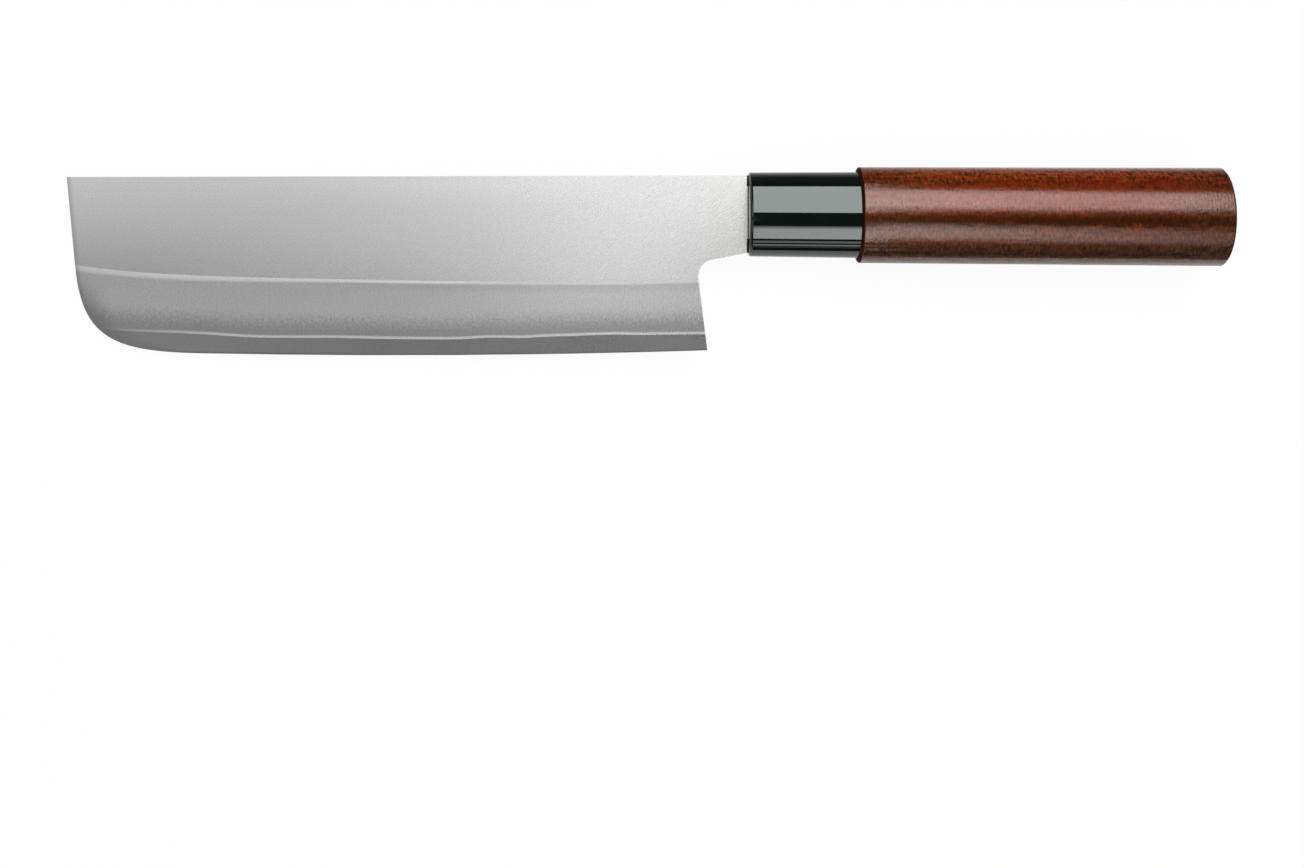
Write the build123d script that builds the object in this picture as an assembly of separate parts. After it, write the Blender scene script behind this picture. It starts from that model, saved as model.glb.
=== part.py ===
from build123d import *
import os

# Nakiri knife: a three-layer laminated blade whose tang is bonded into an oval wooden grip
# through a moulded resin ferrule.
# The knife lies on its side. X runs from the tip to the butt, Y from the cutting edge to
# the spine, and Z through the thickness, with the knife's left side facing +Z.
# It is drawn about the middle of the ferrule's mouth, and the finished pieces are moved
# so that the origin lies under the middle of the knife's box, at the height of its lowest line.

os.makedirs("parts", exist_ok=True)

# Blade outline
edge_length = 165.0  # heel corner to the foremost point of the tip
heel_setback = 10.5  # ferrule mouth back to the heel corner
spine_height = 10.2  # spine above the handle axis, at the shoulder
spine_fall = 0.4  # how far the spine drops by the tip
front_height = 24.8  # straight stretch of the front, below the spine
front_lean = 2.35  # how far that stretch leans back
belly_front_pull = 17.5  # reach of the belly curve along the front
belly_edge_pull = 21.0  # reach of the belly curve along the edge
belly_length = 33.9  # foremost point to where the belly meets the edge
edge_depth = 36.2  # lowest point of the edge below the handle axis
low_point_setback = 69.0  # heel corner to the lowest point
belly_lift = 0.48  # edge above its lowest point, at the belly
heel_lift = 1.25  # edge above its lowest point, at the heel
choil_setback = 13.4  # ferrule mouth back to the corner above the heel
choil_depth = 12.3  # that corner below the handle axis
choil_radius = 4.3
neck_depth = 9.75  # underside of the neck below the handle axis, at the shoulder

# Blade section
blade_thickness = 2.4
core_thickness = 0.5
edge_land = 0.1  # flat left at the very edge
bevel_height = 19.3  # lowest point of the edge up to the ridge, at the heel
ridge_softening = 0.5  # width of the soft strip along the ridge, at the heel
strip_height = 4.5  # lowest point of the edge up to the bared core, at mid blade

# Ridge between the flat and the wide bevel, at even steps from before the tip to past
# the heel: share of the bevel height, share of the soft strip's width
ridge_shares = (
    (1.30, 3.1),
    (1.167, 3.1),
    (1.092, 3.0),
    (1.055, 3.1),
    (1.033, 2.6),
    (1.016, 1.6),
    (1.0, 1.2),
    (0.99, 1.0),
    (0.98, 1.0),
    (0.98, 1.0),
    (1.0, 1.0),
    (1.03, 1.0),
)
ridge_start_share = -0.05
ridge_end_share = 1.05
# Lower end of the cladding, where the core is laid bare:
# share of the edge length, share of the strip's height
lamination_shares = (
    (-0.03, 1.62),
    (0.054, 1.52),
    (0.093, 1.38),
    (0.143, 1.31),
    (0.193, 1.24),
    (0.243, 1.13),
    (0.281, 1.04),
    (0.356, 1.0),
    (0.431, 0.99),
    (0.494, 0.935),
    (0.569, 0.91),
    (0.625, 0.935),
    (0.66, 1.01),
    (0.71, 0.99),
    (0.745, 1.06),
    (0.80, 1.12),
    (0.85, 1.19),
    (0.894, 1.17),
    (0.94, 1.19),
    (0.98, 1.20),
    (1.04, 1.25),
)

# Tang
shoulder_gap = 0.4  # ferrule mouth back to the blade's shoulders
tang_length = 88.0  # behind the ferrule mouth
tang_top = 7.5  # upper edge above the handle axis, at the shoulder
tang_bottom = 6.1  # lower edge below it
tang_end_height = 5.0
tang_thickness = 2.0
tang_end_radius = 1.5

# Handle, oval in section
handle_length = 122.0  # ferrule mouth to butt
handle_rise = 0.15  # centre of the section above the handle axis, at the mouth
handle_drop = 0.64  # how much lower that centre is at the butt
ferrule_exposed = 28.2
ferrule_front_height = 21.7
ferrule_front_thickness = 16.6
ferrule_back_height = 22.2
ferrule_back_thickness = 17.1
ferrule_rim_radius = 0.8
ferrule_wall = 1.7
ferrule_face = 3.0  # thickness of the closed front
grip_front_height = 24.8
grip_front_thickness = 19.4
grip_butt_height = 25.4
grip_butt_thickness = 19.8
grip_rim_radius = 0.65
butt_chamfer = 0.4

# Fits inside the handle
slot_clearance = 0.3  # tang to the ferrule's slot, all round
tenon_clearance = 0.05  # wooden tenon to the ferrule's wall
tenon_end_gap = 0.2  # tenon to the inside of the ferrule's face
bore_clearance = 0.8  # tang to the bore in the grip, all round
bore_end_gap = 2.0  # bore past the end of the tang
seal_depth = 1.2  # how deep the mouth seal reaches into the slot
seal_stand = 0.15  # how far it stands out of the mouth
overrun = 1.0  # how far cutting shapes reach past what they cut

tip_x = -heel_setback - edge_length
edge_low_y = -edge_depth
half_blade = blade_thickness / 2
tenon_end_x = ferrule_face + tenon_end_gap


def blade_outline():
    """The blade seen from its side, without the tang."""
    spine_back = Vector(-shoulder_gap, spine_height)
    spine_tip = Vector(tip_x, spine_height - spine_fall)
    front_end = Vector(tip_x + front_lean, spine_tip.Y - front_height)
    belly_end = Vector(tip_x + belly_length, edge_low_y + belly_lift)
    low_point = Vector(-heel_setback - low_point_setback, edge_low_y)
    heel = Vector(-heel_setback, edge_low_y + heel_lift)
    choil = Vector(-choil_setback, -choil_depth)
    neck_back = Vector(-shoulder_gap, -neck_depth)
    spine = Line(spine_back, spine_tip)
    front = Line(spine_tip, front_end)
    edge = ThreePointArc(belly_end, low_point, heel)
    belly = Bezier(
        front_end,
        front_end + front.tangent_at(1) * belly_front_pull,
        belly_end - edge.tangent_at(0) * belly_edge_pull,
        belly_end,
    )
    back = Polyline(heel, choil, neck_back, spine_back)
    face = Face(Wire([spine, front, belly, edge, *back.edges()]))
    corner = face.vertices().sort_by_distance(choil)[0]
    return face.fillet_2d(choil_radius, [corner])


def tang_outline():
    """The tang seen from its side, from the shoulder to its rounded end."""
    end_y = tang_end_height / 2
    root_x = -shoulder_gap - overrun
    face = make_face(
        Polyline(
            (root_x, tang_top),
            (-shoulder_gap, tang_top),
            (tang_length, end_y),
            (tang_length, -end_y),
            (-shoulder_gap, -tang_bottom),
            (root_x, -tang_bottom),
            close=True,
        )
    )
    corners = face.vertices().group_by(Axis.X)[-1]
    return fillet(corners, tang_end_radius)


def foot_lift(along):
    """Height of the ground surface's foot over the edge's lowest point, on a parabola."""
    low_share = 1 - low_point_setback / edge_length
    if along < low_share:
        end_share = belly_length / edge_length
        lift = belly_lift
    else:
        end_share = 1.0
        lift = heel_lift
    return lift * ((along - low_share) / (end_share - low_share)) ** 2


def bevel_section(along, rise, width):
    """One slice of what grinding takes off the left side, in shares of the named sizes."""
    x = tip_x + along * edge_length
    ridge_y = edge_low_y + rise * bevel_height
    soft_width = width * ridge_softening
    foot_y = edge_low_y + foot_lift(along)
    soft_slope = (half_blade - edge_land / 2) / (ridge_y - foot_y) / 2
    soft_end_z = half_blade - soft_width * soft_slope
    slope = (soft_end_z - edge_land / 2) / (ridge_y - soft_width - foot_y)
    outer_z = half_blade + overrun
    corners = (
        (ridge_y + overrun, half_blade + overrun * soft_slope),
        (ridge_y - soft_width, soft_end_z),
        (foot_y - overrun, edge_land / 2 - slope * overrun),
        (foot_y - overrun, outer_z),
        (ridge_y + overrun, outer_z),
    )
    return Face(Wire.make_polygon([(x, y, z) for y, z in corners]))


def bevel_cutter():
    """What grinding takes off the left side, from before the tip to past the heel."""
    step = (ridge_end_share - ridge_start_share) / (len(ridge_shares) - 1)
    sections = [
        bevel_section(ridge_start_share + step * place, *shares)
        for place, shares in enumerate(ridge_shares)
    ]
    return loft(sections)


def ground_blade():
    """Blade and tang as forged and ground, before they are told apart into layers."""
    plate = extrude(blade_outline(), half_blade, both=True)
    plate += extrude(tang_outline(), tang_thickness / 2, both=True)
    cutter = bevel_cutter()
    return plate - cutter - mirror(cutter, about=Plane.XY)


def core_blank():
    """The core's sheet, with the thicker foot that grinding lays bare."""
    points = [
        (tip_x + along * edge_length, edge_low_y + rise * strip_height)
        for along, rise in lamination_shares
    ]
    line = Spline(points)
    start, end = line @ 0, line @ 1
    below = edge_low_y - overrun
    bottom = Polyline(end, (end.X, below), (start.X, below), start)
    foot = extrude(Face(Wire([line, *bottom.edges()])), half_blade, both=True)
    size_x = tang_length - tip_x + 2 * overrun
    size_y = spine_height + edge_depth + 2 * overrun
    middle = ((tang_length + tip_x) / 2, (spine_height - edge_depth) / 2, 0)
    sheet = Pos(middle) * Box(size_x, size_y, core_thickness)
    return sheet + foot


def centre_y(x):
    """Centre of the handle's section, which drops evenly towards the butt."""
    return handle_rise - handle_drop * x / handle_length


def across(x, y):
    """Plane square to the knife's length, with its own X along the knife's height."""
    return Plane(origin=(x, y, 0), x_dir=(0, 1, 0), z_dir=(1, 0, 0))


def oval(x, height, thickness):
    return across(x, centre_y(x)) * Ellipse(height / 2, thickness / 2)


def between(x, start, end):
    """A ferrule size at x, from its values at the mouth and at the wood."""
    return start + (end - start) * x / ferrule_exposed


def ferrule_oval(x, inset):
    """The ferrule's section at x, moved inwards by the inset."""
    height = between(x, ferrule_front_height, ferrule_back_height)
    thickness = between(x, ferrule_front_thickness, ferrule_back_thickness)
    return oval(x, height - 2 * inset, thickness - 2 * inset)


def rim(part, x):
    """The edges of a part that lie in the plane square to its length at x."""
    return part.edges().filter_by_position(Axis.X, x, x)


def tang_edges_at(x):
    """Upper and lower edge of the tang at x."""
    share = (x + shoulder_gap) / (tang_length + shoulder_gap)
    top = tang_top + (tang_end_height / 2 - tang_top) * share
    bottom = -tang_bottom + (tang_bottom - tang_end_height / 2) * share
    return top, bottom


def ferrule_slot(start_x, end_x):
    """The slot that passes the tang, between two places along the knife."""
    top, bottom = tang_edges_at(-shoulder_gap)
    section = Rectangle(
        top - bottom + 2 * slot_clearance, tang_thickness + 2 * slot_clearance
    )
    return extrude(across(start_x, (top + bottom) / 2) * section, end_x - start_x)


def bore_section(x):
    top, bottom = tang_edges_at(min(x, tang_length))
    section = SlotOverall(
        top - bottom + 2 * bore_clearance, tang_thickness + 2 * bore_clearance
    )
    return across(x, (top + bottom) / 2) * section


def grip_bore():
    """Tapered blind bore for the tang, from the ferrule's face into the grip."""
    end_x = tang_length + bore_end_gap
    tapered = loft([bore_section(ferrule_face), bore_section(tang_length)])
    return tapered + extrude(bore_section(tang_length), end_x - tang_length)


def make_ferrule():
    """Moulded cap with a slotted front, open to the wood."""
    outer = loft([ferrule_oval(0, 0), ferrule_oval(ferrule_exposed, 0)])
    outer = fillet(rim(outer, 0), ferrule_rim_radius)
    cavity = loft(
        [
            ferrule_oval(ferrule_face, ferrule_wall),
            ferrule_oval(ferrule_exposed + overrun, ferrule_wall),
        ]
    )
    return outer - cavity - ferrule_slot(-overrun, ferrule_face + overrun)


def make_grip():
    """Oval wooden body with a turned tenon in front and a bore for the tang."""
    body = loft(
        [
            oval(ferrule_exposed, grip_front_height, grip_front_thickness),
            oval(handle_length, grip_butt_height, grip_butt_thickness),
        ]
    )
    body = fillet(rim(body, ferrule_exposed), grip_rim_radius)
    body = chamfer(rim(body, handle_length), butt_chamfer)
    inset = ferrule_wall + tenon_clearance
    tenon = loft(
        [ferrule_oval(tenon_end_x, inset), ferrule_oval(ferrule_exposed, inset)]
    )
    return body + tenon - grip_bore()


def make_adhesive(blade):
    """Cured filling round the tang, from behind the mouth seal to the end of the bore."""
    return grip_bore() + ferrule_slot(seal_depth, ferrule_face) - blade


def shoulder_pads():
    """Strips between the blade's shoulders and the ferrule, above and below the tang."""
    middle_y = (spine_height - neck_depth) / 2
    strip = Box(shoulder_gap, spine_height + neck_depth, blade_thickness)
    pads = Pos(-shoulder_gap / 2, middle_y, 0) * strip
    return pads - extrude(tang_outline(), blade_thickness, both=True)


def make_mouth_seal(blade):
    """Black sealing bead round the tang, in the mouth of the slot and along the shoulders."""
    return ferrule_slot(-seal_stand, seal_depth) + shoulder_pads() - blade


def make_pieces():
    blade = ground_blade()
    blank = core_blank()
    right_cladding, left_cladding = (blade - blank).solids().sort_by(Axis.Z)
    return {
        "core_steel": blade & blank,
        "left_cladding": left_cladding,
        "right_cladding": right_cladding,
        "ferrule": make_ferrule(),
        "wooden_grip": make_grip(),
        "tang_adhesive": make_adhesive(blade),
        "mouth_seal": make_mouth_seal(blade),
    }


def write_pieces():
    """Move the pieces over the origin and write one file for each."""
    pieces = make_pieces()
    box = Compound(list(pieces.values())).bounding_box()
    shift = Pos(-box.center().X, -box.center().Y, -box.min.Z)
    print("mouth of the ferrule at", shift.position)
    for name, piece in pieces.items():
        placed = shift * piece
        placed.label = name
        export_step(placed, f"parts/{name}.step")


write_pieces()
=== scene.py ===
import math

import bpy
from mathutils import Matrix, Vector


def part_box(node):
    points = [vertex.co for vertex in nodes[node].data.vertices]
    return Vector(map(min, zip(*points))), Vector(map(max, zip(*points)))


# A nakiri knife lying on its right side on a white sweep, seen from straight above
# under long softboxes that run along the handle. Lengths are in metres.

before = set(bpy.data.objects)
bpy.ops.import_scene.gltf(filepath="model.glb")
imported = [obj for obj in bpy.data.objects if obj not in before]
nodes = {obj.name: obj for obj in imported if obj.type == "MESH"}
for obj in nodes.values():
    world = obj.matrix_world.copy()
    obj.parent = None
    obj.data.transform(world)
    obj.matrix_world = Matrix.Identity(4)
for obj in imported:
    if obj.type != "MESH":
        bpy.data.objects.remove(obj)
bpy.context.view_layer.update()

# Sizes of the photograph
PHOTO_WIDTH = 1304
PHOTO_HEIGHT = 868
PIXELS_PER_METRE = 3870.0  # in the blade's middle plane
MOUTH_PIXEL = (748.0, 215.0)  # middle of the ferrule's mouth
VIEW_PIXEL = (652.0, 200.0)  # foot of the camera's axis
CAMERA_HEIGHT = 0.327  # above the blade's middle plane
SENSOR_WIDTH = 36.0  # in millimetres

# Places in the frame
X_AXIS, Y_AXIS = 0, 1
CORE_LOW, CORE_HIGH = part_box("core_steel")
FERRULE_LOW, FERRULE_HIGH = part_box("ferrule")
GRIP_LOW, GRIP_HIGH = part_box("wooden_grip")
CLAD_LOW, CLAD_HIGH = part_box("left_cladding")
MIDDLE_Z = (CORE_LOW.z + CORE_HIGH.z) / 2  # the blade's middle plane
MOUTH_X = FERRULE_LOW.x  # where the blade enters the ferrule
GRIP_FACE_X = FERRULE_HIGH.x  # the wood's front face, where the ferrule ends
AXIS_Y = (FERRULE_LOW.y + FERRULE_HIGH.y) / 2


def photo_point(pixel):
    """Where a pixel of the photograph lies in the blade's middle plane."""
    x = MOUTH_X + (pixel[0] - MOUTH_PIXEL[0]) / PIXELS_PER_METRE
    y = AXIS_Y + (MOUTH_PIXEL[1] - pixel[1]) / PIXELS_PER_METRE
    return Vector((x, y, MIDDLE_Z))


# Node trees
NOISE_MIDDLE = 0.5
NOISE_LOW, NOISE_HIGH = 0.3, 0.7  # most of a noise lies between them


def set_inputs(tree, node, inputs):
    """Give a node's inputs plain values or other nodes' outputs."""
    for name, value in inputs.items():
        socket = node.inputs[name]
        if isinstance(value, bpy.types.NodeSocket):
            tree.links.new(value, socket)
        else:
            socket.default_value = value


def add(tree, kind, inputs, **settings):
    """Add a shader node with its settings and inputs, and give its first output."""
    made = tree.nodes.new("ShaderNode" + kind)
    for name, value in settings.items():
        setattr(made, name, value)
    set_inputs(tree, made, inputs)
    return made.outputs[0]


def maths(tree, operation, first, second=0.0):
    return add(tree, "Math", {0: first, 1: second}, operation=operation)


def plus(tree, first, second):
    return maths(tree, "ADD", first, second)


def minus(tree, first, second):
    return maths(tree, "SUBTRACT", first, second)


def times(tree, first, second):
    return maths(tree, "MULTIPLY", first, second)


def opposite(tree, share):
    """1 where a share is 0, and 0 where it is 1."""
    return minus(tree, 1.0, share)


def fade(tree, value, start, end):
    """0 at the start and 1 at the end, smooth between."""
    inputs = {"Value": value, "From Min": start, "From Max": end}
    return add(tree, "MapRange", inputs, interpolation_type="SMOOTHSTEP", clamp=True)


def band(tree, value, start, full, end, gone):
    """1 between two places along a value, with a soft start and end."""
    rising = fade(tree, value, start, full)
    return minus(tree, rising, fade(tree, value, end, gone))


def blend_colour(tree, factor, first, second):
    """The first colour at a factor of 0 and the second at 1."""
    made = tree.nodes.new("ShaderNodeMix")
    made.data_type = "RGBA"
    set_inputs(tree, made, {0: factor, 6: first, 7: second})
    return made.outputs[2]


def blend_value(tree, factor, first, second):
    """The first number at a factor of 0 and the second at 1."""
    return add(tree, "Mix", {0: factor, 2: first, 3: second})


def object_place(tree):
    """Places on an object, in its own coordinates."""
    made = tree.nodes.new("ShaderNodeTexCoord")
    return made.outputs["Object"]


def axis_of(tree, vector, name):
    made = tree.nodes.new("ShaderNodeSeparateXYZ")
    tree.links.new(vector, made.inputs[0])
    return made.outputs[name]


def turned(tree, vector, degrees):
    """The place turned about Z, so that its X runs along a direction on the blade."""
    inputs = {"Vector": vector, "Rotation": (0.0, 0.0, -math.radians(degrees))}
    return add(tree, "Mapping", inputs, vector_type="POINT")


def streaks(tree, vector, sizes, detail=2.0, roughness=0.5):
    """Noise drawn out along the axes: sizes are its grain's length on each."""
    scale = tuple(1.0 / size for size in sizes)
    stretched = add(tree, "Mapping", {"Vector": vector, "Scale": scale})
    inputs = {"Vector": stretched, "Scale": 1.0, "Detail": detail, "Roughness": roughness}
    return add(tree, "TexNoise", inputs)


def varied(tree, noise, low, high):
    """A noise spread out to run from the low value to the high one."""
    inputs = {
        "Value": noise,
        "From Min": NOISE_LOW,
        "From Max": NOISE_HIGH,
        "To Min": low,
        "To Max": high,
    }
    return add(tree, "MapRange", inputs, clamp=True)


def wander(tree, noise, reach):
    """A noise turned into a shift to either side."""
    return times(tree, minus(tree, noise, NOISE_MIDDLE), reach)


def scaled(tree, colour, factor):
    """A colour made lighter or darker by a plain factor."""
    return add(tree, "VectorMath", {0: colour, "Scale": factor}, operation="SCALE")


def relief(tree, height, distance):
    """A surface that rises by the distance where the height is 1."""
    return add(tree, "Bump", {"Height": height, "Distance": distance, "Strength": 1.0})


def ray_kinds(tree):
    """1 for rays from the camera, and 1 for those that a glossy or clear surface sends on."""
    path = tree.nodes.new("ShaderNodeLightPath")
    glossy, through = path.outputs["Is Glossy Ray"], path.outputs["Is Transmission Ray"]
    return path.outputs["Is Camera Ray"], maths(tree, "MAXIMUM", glossy, through)


def new_material(name, **settings):
    """A material and its main shader, with the values that are the same all over it."""
    material = bpy.data.materials.new(name)
    material.use_nodes = True
    shader = material.node_tree.nodes["Principled BSDF"]
    for socket, value in settings.items():
        shader.inputs[socket.replace("_", " ")].default_value = value
    return material, material.node_tree, shader


def bare_material(name):
    """A material with an empty node tree."""
    material = bpy.data.materials.new(name)
    material.use_nodes = True
    material.node_tree.nodes.clear()
    return material, material.node_tree


def show_surface(tree, surface):
    """Send a shader to the material's output."""
    output = tree.nodes.new("ShaderNodeOutputMaterial")
    tree.links.new(surface, output.inputs["Surface"])


def grey(value):
    return (value, value, value, 1.0)


def tint(red, green, blue):
    return (red, green, blue, 1.0)


# Lines on the blade
LINE_STEP = 0.002  # spacing of the places read along them
LINE_REACH_SHARE = 0.25  # share of the cladding's height that its lower end stays within
STEEP = 0.2  # slope from which a line's end no longer counts as running along the blade
FLAT_TOLERANCE = 0.000002
FRONT_REACH = 0.036  # length of the blade that the belly takes up
HEEL_X = MOUTH_X - 0.0105  # just before the heel


def outer_places(name, step_axis, reach_axis, keep):
    """Outermost vertices of a CAD node towards the low end of one axis, in steps along another."""
    outer = {}
    for vertex in nodes[name].data.vertices:
        place = vertex.co
        step = round(place[step_axis] / LINE_STEP)
        if keep(place) and (step not in outer or place[reach_axis] < outer[step][reach_axis]):
            outer[step] = place
    return sorted(outer.values(), key=lambda place: place[step_axis])


def level(places):
    """The stretch of a line that runs along the blade, without its steep ends."""
    while abs(places[0].y - places[1].y) > STEEP * abs(places[0].x - places[1].x):
        places.pop(0)
    while abs(places[-1].y - places[-2].y) > STEEP * abs(places[-1].x - places[-2].x):
        places.pop()
    return places


def lamination_line():
    """Places along the cladding's lower end, without the stretch that follows the belly."""
    limit = CLAD_LOW.y + LINE_REACH_SHARE * (CLAD_HIGH.y - CLAD_LOW.y)

    def on_line(place):
        return place.y < limit and place.x < MOUTH_X

    return level(outer_places("left_cladding", X_AXIS, Y_AXIS, on_line))


def blade_front():
    """Places along the blade's front, from the belly up to the spine."""
    limit = CLAD_LOW.x + FRONT_REACH
    clad = outer_places("left_cladding", Y_AXIS, X_AXIS, lambda place: place.x < limit)

    def below_cladding(place):
        return place.x < limit and place.y < clad[0].y

    return outer_places("core_steel", Y_AXIS, X_AXIS, below_cladding) + clad


def ridge_line():
    """Places along the flat's lower end, where the wide bevel begins."""
    flat = CLAD_HIGH.z - FLAT_TOLERANCE

    def on_flat(place):
        return place.z > flat and place.x < HEEL_X

    return level(outer_places("left_cladding", X_AXIS, Y_AXIS, on_flat))


def follow(tree, place, line, step_axis, reach_axis):
    """How far a place lies past a line on the blade, along one axis."""
    start, end = line[0][step_axis], line[-1][step_axis]
    low = min(p[reach_axis] for p in line)
    reach = max(p[reach_axis] for p in line) - low
    step = axis_of(tree, place, "XYZ"[step_axis])
    along = add(tree, "MapRange", {"Value": step, "From Min": start, "From Max": end})
    curve = tree.nodes.new("ShaderNodeFloatCurve")
    points = curve.mapping.curves[0].points
    shares = [((p[step_axis] - start) / (end - start), (p[reach_axis] - low) / reach) for p in line]
    points[0].location, points[1].location = shares[0], shares[-1]
    for share in shares[1:-1]:
        points.new(*share)
    for point in points:
        point.handle_type = "VECTOR"
    curve.mapping.update()
    tree.links.new(along, curve.inputs["Value"])
    rise = times(tree, curve.outputs[0], reach)
    over = minus(tree, axis_of(tree, place, "XYZ"[reach_axis]), low)
    return minus(tree, over, rise)


# Finish of the flat, its stretches measured from the blade's front and its depths from the spine
SCRATCH_DEGREES = 36.0  # between the scratches and the blade's length
SCRATCH_GRAIN = (0.0040, 0.00034, 0.01)
MOTTLE_GRAIN = (0.0007, 0.0007, 0.01)
FLAT_CLOUD_GRAIN = (0.02, 0.012, 0.02)
FLAT_TONES = (grey(0.70), grey(0.77))
FLAT_CLOUD_TONE = grey(0.76)
FLAT_CLOUD_SHARE = 0.4
NECK_TONE = tint(0.76, 0.755, 0.71)
NECK_SHARE = 0.5
NECK_STRETCH = (0.160, 0.174)
CROWN_DEPTHS = (0.0005, 0.0095)
CROWN_PAINTED_LIGHT = 0.08  # painted light: how much lighter the crown, the strip under the spine, is at the tip
CROWN_NECK_SHARE = -0.6  # share of the painted light at the neck, where it turns to painted shade and the crown is darker instead
CROWN_TURN = (0.12, 0.16)
# Painted shade that darkens the flat's lower part at the tip: its stretch, depths and loss
DIM_STRETCH = 0.07
DIM_DEPTHS = (0.008, 0.024)
DIM_PAINTED_SHADE = 0.13

# Finish of the bevel, its stretches measured from the blade's front and its depths from the ridge
RIDGE_SOFTNESS = 0.0001
UPRIGHT_GRAIN = (0.00035, 0.006, 0.01)
UPRIGHT_SHARE = 0.8
BEVEL_TONES = (grey(0.50), grey(0.84))
HAZE_WANDER = 0.006
HAZE_HEIGHTS = (0.0014, 0.0075)  # above the lamination line
BEVEL_MARK_TONE = grey(0.4)
BEVEL_MARK_SHARE = 0.07
HOLLOW_SHADE_TONE = grey(0.62)  # of the darker strip below the crest, painted shade
HOLLOW_SHARE = 0.4
HOLLOW_DEPTHS = (0.0004, 0.001, 0.0015, 0.0035)
HOLLOW_STRETCH = (0.06, 0.10)
# The crest's painted highlight: its widths, fade, dying away, what is left and tones
CREST_WIDTHS = (0.0017, 0.0010)
CREST_WIDTH_STRETCH = (0.02, 0.08)
CREST_FADE = (0.3, 1.1)  # in widths
CREST_DYING_STRETCH = (0.085, 0.135)
CREST_LEFT = 0.25  # share of it that is left at the heel
CREST_HIGHLIGHT_TONES = (grey(0.86), grey(0.95))
CREST_TONE_STRETCH = 0.03
LINE_TONE = grey(1.0)
LINE_WIDTH = 0.00065
LINE_SOFTNESS = 0.4  # share of the width over which it fades to either side
LINE_STRETCH = 0.045

# Finish of the cladding's front, painted shade along the belly, and its dullness
FRONT_TONE = grey(0.40)
FRONT_SHARE = 0.6
FRONT_WIDTH = 0.0016
# Painted shade along the belly: its tone, share, width and depth
BELLY_SHADE_TONE = grey(0.33)
BELLY_SHARE = 0.75
BELLY_WIDTH = 0.008
BELLY_DEPTH = 0.012  # below the ridge
IRON_DULLNESS = (0.24, 0.30)
CREST_DULLNESS = 0.12
IRON_RELIEF = 0.00000025


def flat_tone(tree, place, marks, along):
    """Tone of the flat, clouded, with painted light on its crown (painted shade near the neck),
    painted shade low at the tip and a warm neck.
    """
    cloud = streaks(tree, place, FLAT_CLOUD_GRAIN, detail=3.0)
    from_spine = minus(tree, CLAD_HIGH.y, axis_of(tree, place, "Y"))
    tone = blend_colour(tree, marks, *FLAT_TONES)
    tone = blend_colour(tree, times(tree, cloud, FLAT_CLOUD_SHARE), tone, FLAT_CLOUD_TONE)
    neckward = times(tree, fade(tree, along, *NECK_STRETCH), NECK_SHARE)
    tone = blend_colour(tree, neckward, tone, NECK_TONE)
    # painted light on the crown, painted shade on it near the neck
    painted_crown = opposite(tree, fade(tree, from_spine, *CROWN_DEPTHS))
    painted_crown_share = blend_value(tree, fade(tree, along, *CROWN_TURN), 1.0, CROWN_NECK_SHARE)
    painted_crown = times(tree, painted_crown, painted_crown_share)
    # painted shade on the flat's lower part at the tip
    tipward = opposite(tree, fade(tree, along, 0.0, DIM_STRETCH))
    painted_tip_shade = times(tree, tipward, fade(tree, from_spine, *DIM_DEPTHS))
    light = plus(tree, 1.0, times(tree, painted_crown, CROWN_PAINTED_LIGHT))
    light = minus(tree, light, times(tree, painted_tip_shade, DIM_PAINTED_SHADE))
    return scaled(tree, tone, light)


def crest_highlight_share(tree, below, along):
    """1 on the painted highlight along the crest under the ridge, which narrows and then dies away
    to the heel.
    """
    width = blend_value(tree, fade(tree, along, *CREST_WIDTH_STRETCH), *CREST_WIDTHS)
    crest_highlight = opposite(tree, fade(tree, maths(tree, "DIVIDE", below, width), *CREST_FADE))
    dying = blend_value(tree, fade(tree, along, *CREST_DYING_STRETCH), 1.0, CREST_LEFT)
    return times(tree, crest_highlight, dying)


def bevel_tone(tree, marks, mottle, crest_highlight, below, over_line, along):
    """Tone of the bevel, lighter upwards, with painted shade on a strip below its crest, a painted
    highlight on the crest and the bright lamination line.
    """
    uneven = wander(tree, mottle, HAZE_WANDER)
    haze = fade(tree, plus(tree, over_line, uneven), *HAZE_HEIGHTS)
    tone = blend_colour(tree, haze, *BEVEL_TONES)
    tone = blend_colour(tree, times(tree, marks, BEVEL_MARK_SHARE), tone, BEVEL_MARK_TONE)
    # painted shade on the strip below the crest
    hollow_shade = times(tree, band(tree, below, *HOLLOW_DEPTHS), HOLLOW_SHARE)
    hollow_shade = times(tree, hollow_shade, fade(tree, along, *HOLLOW_STRETCH))
    tone = blend_colour(tree, hollow_shade, tone, HOLLOW_SHADE_TONE)
    # painted highlight on the crest
    crest_highlight_tone = blend_colour(tree, fade(tree, along, 0.0, CREST_TONE_STRETCH), *CREST_HIGHLIGHT_TONES)
    tone = blend_colour(tree, crest_highlight, tone, crest_highlight_tone)
    line_start, line_end = LINE_WIDTH * (1 - LINE_SOFTNESS), LINE_WIDTH * (1 + LINE_SOFTNESS)
    line = opposite(tree, fade(tree, over_line, line_start, line_end))
    line = times(tree, line, fade(tree, along, 0.0, LINE_STRETCH))
    return blend_colour(tree, line, tone, LINE_TONE)


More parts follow.
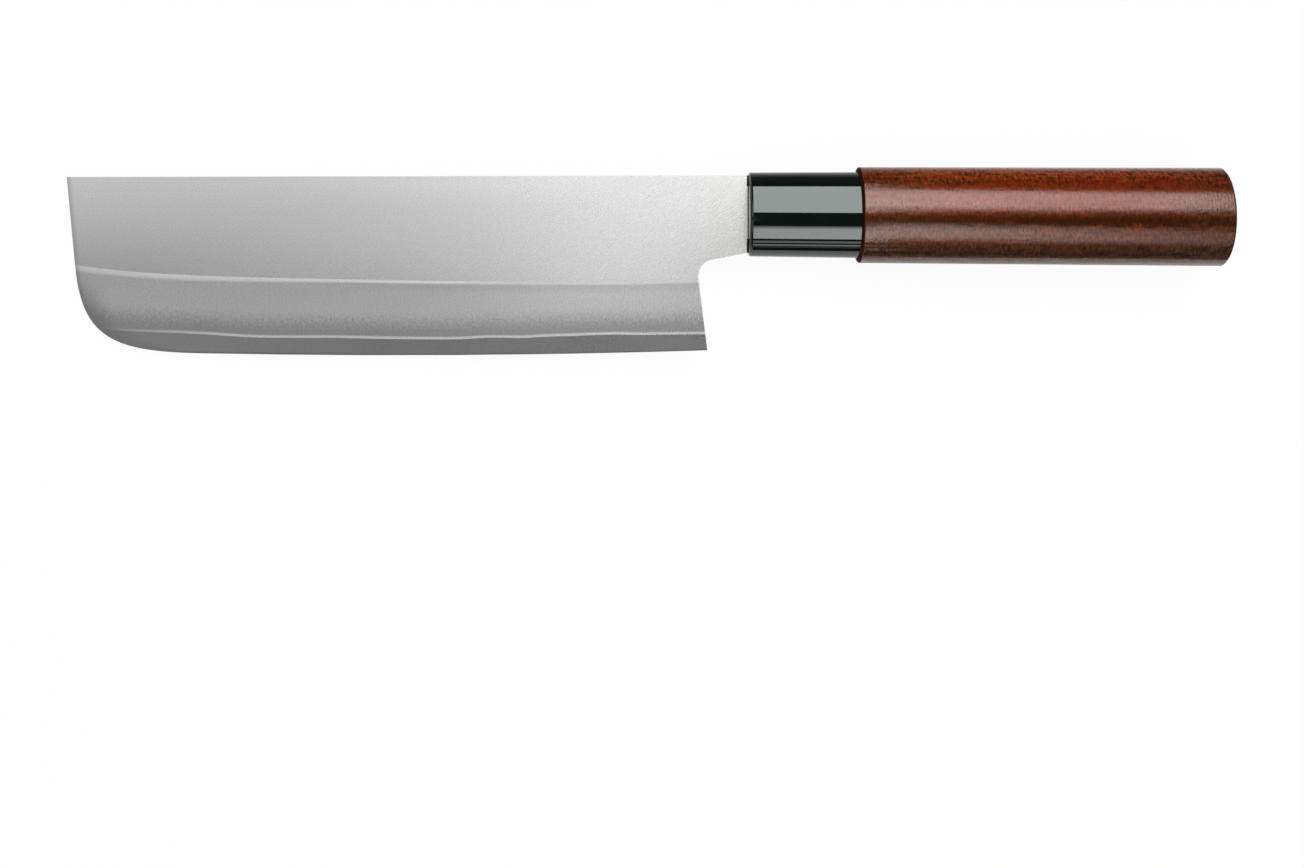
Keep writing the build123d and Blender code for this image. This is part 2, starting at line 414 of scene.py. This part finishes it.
def cladding_material():
    """Satin iron: short diagonal scratches on the flat, a painted highlight along the ridge and a
    hazier bevel, with painted light and shade in places.
    """
    material, tree, shader = new_material("cladding_iron", Metallic=1.0)
    place = object_place(tree)
    below = times(tree, follow(tree, place, ridge_line(), X_AXIS, Y_AXIS), -1.0)
    over_line = follow(tree, place, lamination_line(), X_AXIS, Y_AXIS)
    inward = follow(tree, place, blade_front(), Y_AXIS, X_AXIS)
    along = minus(tree, axis_of(tree, place, "X"), CLAD_LOW.x)
    slanted = streaks(tree, turned(tree, place, SCRATCH_DEGREES), SCRATCH_GRAIN, detail=1.0)
    mottle = streaks(tree, place, MOTTLE_GRAIN, detail=3.0)
    upright = streaks(tree, place, UPRIGHT_GRAIN, detail=3.0)
    bevel = fade(tree, below, -RIDGE_SOFTNESS, RIDGE_SOFTNESS)
    ground = blend_value(tree, UPRIGHT_SHARE, mottle, upright)
    marks = blend_value(tree, bevel, slanted, ground)

    crest_highlight = crest_highlight_share(tree, below, along)
    tone_above = flat_tone(tree, place, marks, along)
    tone_below = bevel_tone(tree, marks, mottle, crest_highlight, below, over_line, along)
    tone = blend_colour(tree, bevel, tone_above, tone_below)
    front = opposite(tree, fade(tree, inward, 0.0, FRONT_WIDTH))
    tone = blend_colour(tree, times(tree, front, FRONT_SHARE), tone, FRONT_TONE)
    # painted shade along the belly
    belly_shade = opposite(tree, fade(tree, inward, 0.0, BELLY_WIDTH))
    belly_shade = times(tree, belly_shade, fade(tree, below, 0.0, BELLY_DEPTH))
    tone = blend_colour(tree, times(tree, belly_shade, BELLY_SHARE), tone, BELLY_SHADE_TONE)

    dullness = blend_value(tree, marks, *IRON_DULLNESS)
    crest_dullness = times(tree, times(tree, bevel, crest_highlight), CREST_DULLNESS)
    looks = {
        "Base Color": tone,
        "Roughness": plus(tree, dullness, crest_dullness),
        "Normal": relief(tree, marks, IRON_RELIEF),
    }
    set_inputs(tree, shader, looks)
    return material


# Finish of the core
CORE_CLOUD_GRAIN = (0.012, 0.006, 0.01)
CORE_MOTTLE_SHARE = 0.5
# Painted shade that darkens the core towards the heel, over this stretch
HEELWARD_STRETCH = 0.12
CORE_LIGHT_TONES = (grey(0.48), grey(0.38))  # at the tip and at the heel, where painted shade makes them darker
CORE_DARK_TONES = (grey(0.38), grey(0.28))
EDGE_THICKNESSES = (0.00006, 0.00009)  # from the middle plane
EDGE_TONE = grey(0.20)
EDGE_SHARE = 0.6
# Painted shade along the belly: its width, tone and share
CORE_BELLY_WIDTH = 0.010
CORE_BELLY_SHADE_TONE = grey(0.28)
CORE_BELLY_SHARE = 0.5
CORE_DULLNESS = (0.22, 0.34)
CORE_RELIEF = 0.000003


def core_material():
    """Hazy hard steel, clouded, darker at the edge, with painted shade towards the heel and along
    the belly.
    """
    material, tree, shader = new_material("core_steel", Metallic=1.0)
    place = object_place(tree)
    cloud = streaks(tree, place, CORE_CLOUD_GRAIN, detail=4.0, roughness=0.6)
    mottle = streaks(tree, place, MOTTLE_GRAIN, detail=3.0)
    marks = blend_value(tree, CORE_MOTTLE_SHARE, cloud, mottle)
    along = minus(tree, axis_of(tree, place, "X"), CLAD_LOW.x)
    # painted shade towards the heel
    heelward_shade = fade(tree, along, 0.0, HEELWARD_STRETCH)
    light_tone = blend_colour(tree, heelward_shade, *CORE_LIGHT_TONES)
    dark_tone = blend_colour(tree, heelward_shade, *CORE_DARK_TONES)
    tone = blend_colour(tree, marks, dark_tone, light_tone)
    thickness = maths(tree, "ABSOLUTE", minus(tree, axis_of(tree, place, "Z"), MIDDLE_Z))
    edge = opposite(tree, fade(tree, thickness, *EDGE_THICKNESSES))
    tone = blend_colour(tree, times(tree, edge, EDGE_SHARE), tone, EDGE_TONE)
    inward = follow(tree, place, blade_front(), Y_AXIS, X_AXIS)
    # painted shade along the belly
    belly_shade = opposite(tree, fade(tree, inward, 0.0, CORE_BELLY_WIDTH))
    tone = blend_colour(tree, times(tree, belly_shade, CORE_BELLY_SHARE), tone, CORE_BELLY_SHADE_TONE)
    looks = {
        "Base Color": tone,
        "Roughness": blend_value(tree, marks, *CORE_DULLNESS),
        "Normal": relief(tree, marks, CORE_RELIEF),
    }
    set_inputs(tree, shader, looks)
    return material


# Finish of the ferrule
RESIN_SMUDGE_GRAIN = (0.006, 0.003, 0.003)
RESIN_SWELL_GRAIN = (0.004, 0.004, 0.004)
RESIN_TONES = (tint(0.0024, 0.0055, 0.0034), tint(0.0044, 0.0085, 0.0056))
RESIN_SHEEN = tint(0.91, 1.0, 0.98)
RESIN_DULLNESS = (0.02, 0.06)
RESIN_RELIEF = 0.0000015


def resin_material():
    """Glossy black resin with a green cast and the faint swell of a moulded surface."""
    material, tree, shader = new_material("black_resin", IOR=1.65, Specular_Tint=RESIN_SHEEN)
    place = object_place(tree)
    smudge = streaks(tree, place, RESIN_SMUDGE_GRAIN, detail=3.0)
    swell = streaks(tree, place, RESIN_SWELL_GRAIN, detail=1.0)
    looks = {
        "Base Color": blend_colour(tree, smudge, *RESIN_TONES),
        "Roughness": blend_value(tree, smudge, *RESIN_DULLNESS),
        "Normal": relief(tree, swell, RESIN_RELIEF),
    }
    set_inputs(tree, shader, looks)
    return material


# Finish of the wood, its heights measured from the lowest line of the grip
GRAIN_SIZES = (0.010, 0.0008, 0.0008)
FLECK_SIZES = (0.0005, 0.0013, 0.0013)
BLOTCH_SIZES = (0.0045, 0.0016, 0.0016)
ZONE_WANDER = 0.008
LOWEST_STAIN = tint(0.030, 0.0100, 0.0036)
STAINS = (
    (0.0045, 0.0075, tint(0.068, 0.0120, 0.0026)),
    (0.0090, 0.0112, tint(0.012, 0.0014, 0.0007)),
    (0.0122, 0.0152, tint(0.105, 0.0070, 0.0006)),
    (0.0212, 0.0236, tint(0.215, 0.0350, 0.0025)),
)  # where each sets in and where it is full, going up
END_STAIN = tint(0.028, 0.012, 0.006)
END_SHARE = 0.45
END_STRETCHES = (0.0, 0.030, 0.070, 0.093)  # behind the ferrule
FLECK_CONTRAST = (-1.1, 1.1)
BLOTCH_CONTRAST = (0.5, -0.5)
GRAIN_CONTRAST = (0.4, -0.4)
PLAIN_LOW_HEIGHTS = (0.0045, 0.0070, 0.0090, 0.0110)  # where the pattern is weaker
PLAIN_HIGH_HEIGHTS = (0.0140, 0.0160, 0.0195, 0.0215)
PLAIN_LOSS = 0.55
CONTRAST_HEIGHTS = (0.012, 0.018)
CONTRASTS = (1.5, 1.0)  # below these heights and above them
LEAST_SHADE = 0.1
# Painted shade on the butt's rim, where the lacquer is left off
BUTT_RIM_WIDTHS = (0.00045, 0.0006)
BUTT_RIM_SHADE_TONE = tint(0.008, 0.010, 0.007)
BUTT_RIM_SHARE = 0.85
# Painted shade on the wood's front rim at the joint with the ferrule, where the lacquer is left off
JOINT_WIDTHS = (0.0004, 0.0006)
JOINT_SHADE_TONE = grey(0.0005)
WOOD_DULLNESS = (0.30, 0.46)
SHADED_EDGE_DULLNESS = 0.9
FLECK_LACQUER = (0.66, 1.0)
GRAIN_LACQUER = (1.0, 0.86)
LOW_LACQUER = 0.6
LOW_LACQUER_HEIGHT = 0.003
SKIN_FLECK_SHARE = 0.3
WOOD_RELIEF = 0.00006


def wood_stain(tree, rise, behind):
    """The stain's zones, from the grip's lowest line to its back, browner at its two ends."""
    tone = LOWEST_STAIN
    for start, full, stain in STAINS:
        tone = blend_colour(tree, fade(tree, rise, start, full), tone, stain)
    ends = opposite(tree, band(tree, behind, *END_STRETCHES))
    return blend_colour(tree, times(tree, ends, END_SHARE), tone, END_STAIN)


def wood_shade(tree, rise, grain, flecks, blotches):
    """Factor for the light and dark of the pattern, stronger below and weaker in plain strips."""
    spread = plus(
        tree,
        varied(tree, flecks, *FLECK_CONTRAST),
        varied(tree, blotches, *BLOTCH_CONTRAST),
    )
    spread = plus(tree, spread, varied(tree, grain, *GRAIN_CONTRAST))
    plain_low = band(tree, rise, *PLAIN_LOW_HEIGHTS)
    plain_high = band(tree, rise, *PLAIN_HIGH_HEIGHTS)
    plain = times(tree, plus(tree, plain_low, plain_high), PLAIN_LOSS)
    contrast = blend_value(tree, fade(tree, rise, *CONTRAST_HEIGHTS), *CONTRASTS)
    contrast = minus(tree, contrast, plain)
    shade = plus(tree, times(tree, spread, contrast), 1.0)
    return maths(tree, "MAXIMUM", shade, LEAST_SHADE)


def lacquer_share(tree, rise, grain, flecks, shaded_edges):
    """How much lacquer covers the wood: less on the pattern and below, none on the rims painted in
    shade.
    """
    lacquer = times(
        tree,
        varied(tree, flecks, *FLECK_LACQUER),
        varied(tree, grain, *GRAIN_LACQUER),
    )
    low_share = blend_value(tree, fade(tree, rise, 0.0, LOW_LACQUER_HEIGHT), LOW_LACQUER, 1.0)
    lacquer = times(tree, lacquer, low_share)
    return times(tree, lacquer, opposite(tree, shaded_edges))


def wood_material():
    """Stained wood under clear lacquer: orange-red along its back, dark in the middle and
    brown below, with long grain, short cross flecks and soft blotches."""
    material, tree, shader = new_material(
        "lacquered_wood",
        IOR=1.45,
        Specular_IOR_Level=0.8,
        Specular_Tint=tint(1.0, 0.28, 0.06),
        Coat_IOR=1.6,
        Coat_Roughness=0.08,
    )
    place = object_place(tree)
    grain = streaks(tree, place, GRAIN_SIZES, detail=4.0, roughness=0.6)
    flecks = streaks(tree, place, FLECK_SIZES, detail=2.0, roughness=0.65)
    blotches = streaks(tree, place, BLOTCH_SIZES, detail=3.0)
    behind = minus(tree, axis_of(tree, place, "X"), GRIP_FACE_X)
    before_end = minus(tree, GRIP_HIGH.x, axis_of(tree, place, "X"))
    rise = minus(tree, axis_of(tree, place, "Y"), GRIP_LOW.y)
    rise = plus(tree, rise, wander(tree, blotches, ZONE_WANDER))

    stain = wood_stain(tree, rise, behind)
    tone = scaled(tree, stain, wood_shade(tree, rise, grain, flecks, blotches))
    # painted shade on the butt's rim
    rim_shade = opposite(tree, fade(tree, before_end, *BUTT_RIM_WIDTHS))
    tone = blend_colour(tree, times(tree, rim_shade, BUTT_RIM_SHARE), tone, BUTT_RIM_SHADE_TONE)
    # painted shade on the wood's front rim at the joint
    joint_shade = opposite(tree, fade(tree, behind, *JOINT_WIDTHS))
    tone = blend_colour(tree, joint_shade, tone, JOINT_SHADE_TONE)
    shaded_edges = maths(tree, "MAXIMUM", rim_shade, joint_shade)
    dullness = blend_value(tree, grain, *WOOD_DULLNESS)
    skin = blend_value(tree, SKIN_FLECK_SHARE, blotches, flecks)
    looks = {
        "Base Color": tone,
        "Roughness": blend_value(tree, shaded_edges, dullness, SHADED_EDGE_DULLNESS),
        "Coat Weight": lacquer_share(tree, rise, grain, flecks, shaded_edges),
        "Normal": relief(tree, flecks, WOOD_RELIEF),
        "Coat Normal": relief(tree, skin, WOOD_RELIEF),
    }
    set_inputs(tree, shader, looks)
    return material


# Finish of the adhesive and the seal
BUBBLE_GRAIN = (0.0008, 0.0008, 0.0008)
ADHESIVE_TONES = (tint(0.60, 0.50, 0.32), tint(0.78, 0.70, 0.50))
ADHESIVE_DULLNESS = (0.35, 0.55)
SEALANT_GRAIN = (0.0008, 0.0008, 0.0004)
# Near-black tones: painted shade for the dark gap at the ferrule's mouth
SEALANT_SHADE_TONES = (grey(0.001), grey(0.005))
SEALANT_DULLNESS = (0.45, 0.7)
FILLER_RELIEF = 0.0001


def filler_material(name, refraction, sizes, detail, tones, dullness):
    """A cured filler with an uneven skin."""
    material, tree, shader = new_material(name, IOR=refraction)
    skin = streaks(tree, object_place(tree), sizes, detail)
    looks = {
        "Base Color": blend_colour(tree, skin, *tones),
        "Roughness": blend_value(tree, skin, *dullness),
        "Normal": relief(tree, skin, FILLER_RELIEF),
    }
    set_inputs(tree, shader, looks)
    return material


def adhesive_material():
    """Cured amber resin with small bubbles."""
    return filler_material(
        "adhesive",
        refraction=1.5,
        sizes=BUBBLE_GRAIN,
        detail=2.0,
        tones=ADHESIVE_TONES,
        dullness=ADHESIVE_DULLNESS,
    )


def sealant_material():
    """Dull black bead with an uneven skin; its black is painted shade for the dark gap at the
    ferrule's mouth.
    """
    return filler_material(
        "sealant",
        refraction=1.45,
        sizes=SEALANT_GRAIN,
        detail=3.0,
        tones=SEALANT_SHADE_TONES,
        dullness=SEALANT_DULLNESS,
    )


def finish_nodes():
    """Give every CAD node its finished material."""
    iron = cladding_material()
    finishes = {
        "core_steel": core_material(),
        "left_cladding": iron,
        "right_cladding": iron,
        "ferrule": resin_material(),
        "wooden_grip": wood_material(),
        "tang_adhesive": adhesive_material(),
        "mouth_seal": sealant_material(),
    }
    for name, material in finishes.items():
        for material_slot in nodes[name].material_slots:
            material_slot.material = material


# Stage
FLOOR_REACH = 3.0
FLOOR_GAP = 0.0001  # between the floor and the places that it carries
FLOOR_FADE = (0.16, 0.45)  # where the floor's shading fades into plain white
FLOOR_SHADE = 0.06  # share of the floor's colour that takes shade
MIRRORED_SHADE = 0.5  # the same in reflections
PAPER_GRAIN = (0.004, 0.004, 0.004)
PAPER_TONES = (grey(0.88), grey(0.90))


def make_sheet(name, corners, material):
    """A flat sheet with four corners."""
    mesh = bpy.data.meshes.new(name)
    mesh.from_pydata(corners, [], [(0, 1, 2, 3)])
    mesh.materials.append(material)
    sheet = bpy.data.objects.new(name, mesh)
    bpy.context.scene.collection.objects.link(sheet)
    return sheet


def shade_share(tree, far):
    """Share of the floor's colour that is plain lit paper: little of it shows to the camera,
    more in reflections, none far away, and the rest of the light meets all paper."""
    seen, mirrored = ray_kinds(tree)
    share = blend_value(tree, mirrored, 1.0, blend_value(tree, far, MIRRORED_SHADE, 0.0))
    return blend_value(tree, seen, share, blend_value(tree, far, FLOOR_SHADE, 0.0))


def floor_material():
    """White paper that stays white to the eye and keeps a faint shadow."""
    material, tree = bare_material("white_sweep")
    place = object_place(tree)
    mottle = streaks(tree, place, PAPER_GRAIN, detail=2.0)
    paper = add(tree, "BsdfDiffuse", {"Color": blend_colour(tree, mottle, *PAPER_TONES)})
    glow = add(tree, "Emission", {"Color": grey(1.0), "Strength": 1.0})
    distance = tree.nodes.new("ShaderNodeVectorMath")
    distance.operation = "LENGTH"
    tree.links.new(place, distance.inputs[0])
    far = fade(tree, distance.outputs["Value"], *FLOOR_FADE)
    show_surface(tree, add(tree, "MixShader", {0: shade_share(tree, far), 1: glow, 2: paper}))
    return material


def make_floor():
    """A wide sheet that carries the knife at the blade's tip and the grip's front rim."""
    front = Vector((GRIP_FACE_X, 0.0, 0.0))
    tip = Vector((CLAD_LOW.x, 0.0, MIDDLE_Z - (CLAD_HIGH.z - MIDDLE_Z)))
    slope = math.atan2(tip.z - front.z, front.x - tip.x)
    corners = [
        (-FLOOR_REACH, -FLOOR_REACH, 0.0),
        (FLOOR_REACH, -FLOOR_REACH, 0.0),
        (FLOOR_REACH, FLOOR_REACH, 0.0),
        (-FLOOR_REACH, FLOOR_REACH, 0.0),
    ]
    floor = make_sheet("floor", corners, floor_material())
    floor.location = (0.0, 0.0, math.tan(slope) * front.x - FLOOR_GAP)
    floor.rotation_euler = (0.0, slope, 0.0)


# Lamps, with stops that each give a place from 0 to 1 across or along a lamp and its strength
LIGHT_DISTANCE = 0.8  # from the handle's axis
FERRULE_STRETCH = (MOUTH_X - 0.0045, GRIP_FACE_X - 0.0005)  # what the lamps' images fill there
WOOD_STRETCH = (GRIP_FACE_X, GRIP_HIGH.x + 0.004)  # the same, on past the butt
EDGE_ACROSS = ((0.0, 1.0), (0.75, 1.0), (1.0, 0.1))
SPINE_WOOD_ALONG = ((0.0, 1.0), (0.17, 0.90), (0.39, 0.86), (0.5, 0.76), (0.63, 0.68), (1.0, 0.86))
SPINE_WOOD_ACROSS = (
    (0.0, 0.0),
    (0.13, 0.08),
    (0.24, 0.5),
    (0.32, 0.93),
    (0.37, 1.0),
    (0.69, 1.0),
    (0.78, 0.85),
    (0.85, 0.5),
    (0.91, 0.12),
    (1.0, 0.0),
)
EDGE_WOOD_ALONG = ((0.0, 1.0), (0.17, 0.87), (0.39, 0.68), (0.63, 0.44), (0.84, 0.32), (1.0, 0.30))
EDGE_WOOD_ACROSS = (
    (0.0, 0.0),
    (0.09, 0.12),
    (0.193, 0.5),
    (0.30, 0.9),
    (0.38, 1.0),
    (0.62, 1.0),
    (0.71, 0.9),
    (0.811, 0.5),
    (0.91, 0.12),
    (1.0, 0.0),
)
LOW_STRIPS = (
    (-64.8, 3.2, 1.6),
    (-75.8, 3.0, 1.9),
    (-83.6, 1.8, 0.5),
)  # angle, half width and radiance of each
TIP_ACROSS = ((0.0, 1.0), (0.5, 0.95), (1.0, 0.4))
TIP_ALONG = (
    (0.0, 0.56),
    (0.51, 0.56),
    (0.60, 0.535),
    (0.65, 0.545),
    (0.71, 0.61),
    (0.79, 0.665),
    (0.864, 0.72),
    (0.94, 0.83),
    (1.0, 0.80),
)
FILL_ALONG = ((0.85, 1.0), (1.0, 0.45))


def profile(tree, value, stops):
    """A strength that follows stops along the value."""
    made = tree.nodes.new("ShaderNodeValToRGB")
    elements = made.color_ramp.elements
    while len(elements) < len(stops):
        elements.new(0.5)
    for element, (place, strength) in zip(elements, stops):
        element.position = place
        element.color = grey(strength)
    tree.links.new(value, made.inputs[0])
    return made.outputs[0]


def share_of(tree, value, start, end):
    """How far a value lies from the start to the end, under 0 or over 1 outside them."""
    return add(tree, "MapRange", {"Value": value, "From Min": start, "From Max": end}, clamp=False)


def inside(tree, share):
    """1 where a share lies between 0 and 1, else 0."""
    off = maths(tree, "ABSOLUTE", minus(tree, share, 0.5))
    return maths(tree, "LESS_THAN", off, 0.5)


def area_lamp(name, angles, ends, radiance):
    """A long lamp parallel to the handle. Angles are from straight up towards the spine. Gives
    its node tree and the shares along and across it, from its lower end and lower angle."""
    middle = math.radians(sum(angles) / 2)
    half = math.radians(abs(angles[0] - angles[1]) / 2)
    lamp = bpy.data.lights.new(name, "AREA")
    lamp.shape = "RECTANGLE"
    lamp.size = ends[1] - ends[0]
    lamp.size_y = 2 * LIGHT_DISTANCE * math.tan(half)
    lamp.energy = radiance * math.pi * lamp.size * lamp.size_y
    lamp.use_nodes = True
    placed = bpy.data.objects.new(name, lamp)
    placed.location = (
        (ends[0] + ends[1]) / 2,
        AXIS_Y + LIGHT_DISTANCE * math.sin(middle),
        MIDDLE_Z + LIGHT_DISTANCE * math.cos(middle),
    )
    placed.rotation_euler = (-middle, 0.0, 0.0)
    placed.visible_camera = False
    bpy.context.scene.collection.objects.link(placed)
    tree = lamp.node_tree
    place = tree.nodes.new("ShaderNodeNewGeometry").outputs["Parametric"]
    return tree, axis_of(tree, place, "X"), axis_of(tree, place, "Y")


def shine(tree, strength, profiles):
    """Light a lamp with the product of a strength and its profiles, each stops and a share."""
    for stops, share in profiles:
        if stops:
            strength = times(tree, profile(tree, share, stops), strength)
    tree.links.new(strength, tree.nodes["Emission"].inputs["Strength"])


def softbox(name, angles, ends, radiance, across=None, along=None):
    """A plain long lamp, with stops across and along it."""
    tree, share_x, share_y = area_lamp(name, angles, ends, radiance)
    lit = times(tree, inside(tree, share_x), inside(tree, share_y))
    shine(tree, lit, ((across, share_y), (along, share_x)))


def handle_softbox(name, angles, shown, radiance, across=None, along=None, far_angles=None):
    """A lamp whose mirror image fills a stretch of the handle, shown, from end to end. The
    angles are those at the stretch's start, and far_angles those at its end."""
    near, far = angles, far_angles or angles
    low, high = min(near[0], far[0]), max(near[1], far[1])
    middle, half = math.radians((low + high) / 2), math.radians((high - low) / 2)
    view_x = photo_point(VIEW_PIXEL).x
    step = LIGHT_DISTANCE / CAMERA_HEIGHT
    start = view_x + (shown[0] - view_x) * (1 + step)
    end = view_x + (shown[1] - view_x) * (1 + step / math.cos(half))
    tree, share_x, share_y = area_lamp(name, (low, high), (start, end), radiance)

    lean = times(tree, minus(tree, share_y, 0.5), 2 * math.tan(half))
    slant = maths(tree, "SQRT", plus(tree, times(tree, lean, lean), 1.0))
    spread = plus(tree, times(tree, slant, step), 1.0)
    off = plus(tree, times(tree, share_x, end - start), start - view_x)
    place = maths(tree, "DIVIDE", off, spread)
    share_shown = share_of(tree, place, shown[0] - view_x, shown[1] - view_x)
    sides = []
    for angle, far_angle in zip(near, far):
        first, last = (
            0.5 + math.tan(math.radians(side) - middle) / (2 * math.tan(half))
            for side in (angle, far_angle)
        )
        sides.append(blend_value(tree, share_shown, first, last))
    share_across = share_of(tree, share_y, *sides)
    lit = times(tree, inside(tree, share_shown), inside(tree, share_across))
    shine(tree, lit, ((across, share_across), (along, share_shown)))


def make_ferrule_lamps():
    """Two broad lamps over the ferrule and thin ones low on its edge side."""
    handle_softbox("spine_softbox", angles=(4.4, 68.0), shown=FERRULE_STRETCH, radiance=5.2)
    handle_softbox(
        "edge_softbox",
        angles=(-55.5, -23.6),
        shown=FERRULE_STRETCH,
        radiance=4.4,
        across=EDGE_ACROSS,
    )
    for angle, half, radiance in LOW_STRIPS:
        name = f"low_strip_{round(-angle)}"
        handle_softbox(name, (angle - half, angle + half), FERRULE_STRETCH, radiance)


def make_wood_lamps():
    """Two broad lamps over the wood and a faint one low on its edge side."""
    handle_softbox(
        "spine_wood_softbox",
        angles=(-1.0, 60.0),
        shown=WOOD_STRETCH,
        radiance=5.2,
        across=SPINE_WOOD_ACROSS,
        along=SPINE_WOOD_ALONG,
        far_angles=(0.0, 53.0),
    )
    handle_softbox(
        "edge_wood_softbox",
        angles=(-54.0, -9.0),
        shown=WOOD_STRETCH,
        radiance=3.35,
        across=EDGE_WOOD_ACROSS,
        along=EDGE_WOOD_ALONG,
        far_angles=(-64.5, -19.0),
    )
    handle_softbox("low_wood_fill", angles=(-85.0, -52.0), shown=WOOD_STRETCH, radiance=0.08)


def make_blade_lamps():
    """A soft lamp that the blade mirrors, a fill for its bevel and one for its neck."""
    softbox(
        "tip_softbox",
        angles=(-4.5, 33.0),
        ends=(-1.1, 0.07),
        radiance=1.38,
        across=TIP_ACROSS,
        along=TIP_ALONG,
    )
    softbox("edge_fill", angles=(-43.0, -12.0), ends=(-1.1, 0.0), radiance=0.48, along=FILL_ALONG)
    softbox("neck_fill", angles=(-14.0, -4.5), ends=(-0.10, 0.075), radiance=0.8)


# Cards
CARD_START, CARD_END = 0.02, 0.22
SPINE_CARD_GAP = 0.008  # between the handle and the card
SPINE_CARD_HEIGHT = 0.018
SPINE_CARD_STOPS = ((0.0, 0.58), (0.28, 0.5), (0.4, 0.32), (0.48, 0.17), (0.6, 0.06), (1.0, 0.01))
EDGE_CARD_GAP = 0.080
EDGE_CARD_END = GRIP_FACE_X + 0.030  # hides the floor from the ferrule's whole edge side
EDGE_WOOD_CARD_GAP = 0.050
EDGE_WOOD_CARD_START = GRIP_FACE_X + 0.0085
EDGE_CARD_HEIGHT = 0.022
BLACK_CARD = ((0.0, 0.01), (1.0, 0.01))


def make_card(name, ends, y, height, stops):
    """A card standing beside the handle that only reflections see, with its tone from the
    floor up to its top."""
    start, end = ends
    corners = [(start, y, 0.0), (end, y, 0.0), (end, y, height), (start, y, height)]
    material, tree = bare_material(name)
    share = maths(tree, "DIVIDE", axis_of(tree, object_place(tree), "Z"), height)
    tone = profile(tree, share, stops)
    show_surface(tree, add(tree, "Emission", {"Color": tone, "Strength": 1.0}))
    card = make_sheet(name, corners, material)
    card.visible_camera = False
    card.visible_diffuse = False
    card.visible_shadow = False


def make_cards():
    """One card on the spine side and two on the edge side."""
    make_card(
        "spine_card",
        ends=(CARD_START, CARD_END),
        y=GRIP_HIGH.y + SPINE_CARD_GAP,
        height=SPINE_CARD_HEIGHT,
        stops=SPINE_CARD_STOPS,
    )
    make_card(
        "edge_card",
        ends=(CARD_START, EDGE_CARD_END),
        y=GRIP_LOW.y - EDGE_CARD_GAP,
        height=EDGE_CARD_HEIGHT,
        stops=BLACK_CARD,
    )
    make_card(
        "edge_wood_card",
        ends=(EDGE_WOOD_CARD_START, CARD_END),
        y=GRIP_LOW.y - EDGE_WOOD_CARD_GAP,
        height=EDGE_CARD_HEIGHT,
        stops=BLACK_CARD,
    )


# World
AMBIENT = 0.25  # what the studio's walls add on matt surfaces
CEILING = 0.015  # how bright its ceiling looks in a reflection
END_WALLS = 0.32  # the same for the walls beyond the tip and the butt
END_WALL_EDGES = (0.56, 0.64)  # where they set in, as a direction's share along the knife
HORIZON_HEIGHT = 0.03


def make_world():
    """White to the eye; in reflections a bright horizon, pale end walls and a dark ceiling;
    an even grey elsewhere."""
    world = bpy.data.worlds.new("studio")
    bpy.context.scene.world = world
    world.use_nodes = True
    tree = world.node_tree
    seen, mirrored = ray_kinds(tree)
    direction = tree.nodes.new("ShaderNodeTexCoord").outputs["Generated"]
    height = axis_of(tree, direction, "Z")
    sideways = maths(tree, "ABSOLUTE", axis_of(tree, direction, "X"))
    walls = blend_value(tree, fade(tree, sideways, *END_WALL_EDGES), CEILING, END_WALLS)
    horizon = opposite(tree, fade(tree, height, 0.0, HORIZON_HEIGHT))
    light = blend_value(tree, mirrored, AMBIENT, maths(tree, "MAXIMUM", horizon, walls))
    light = blend_value(tree, seen, light, 1.0)
    set_inputs(tree, tree.nodes["Background"], {"Color": grey(1.0), "Strength": light})


# Camera
def make_camera():
    """Straight above the knife, with the picture's frame moved down past the optical axis."""
    camera = bpy.data.cameras.new("camera")
    camera.sensor_width = SENSOR_WIDTH
    camera.lens = camera.sensor_width * PIXELS_PER_METRE * CAMERA_HEIGHT / PHOTO_WIDTH
    camera.shift_y = -(PHOTO_HEIGHT / 2 - VIEW_PIXEL[1]) / PHOTO_WIDTH
    placed = bpy.data.objects.new("camera", camera)
    placed.location = photo_point(VIEW_PIXEL) + Vector((0.0, 0.0, CAMERA_HEIGHT))
    bpy.context.scene.collection.objects.link(placed)
    bpy.context.scene.camera = placed


finish_nodes()
make_floor()
make_ferrule_lamps()
make_wood_lamps()
make_blade_lamps()
make_cards()
make_world()
make_camera()
bpy.context.scene.view_settings.view_transform = "Standard"
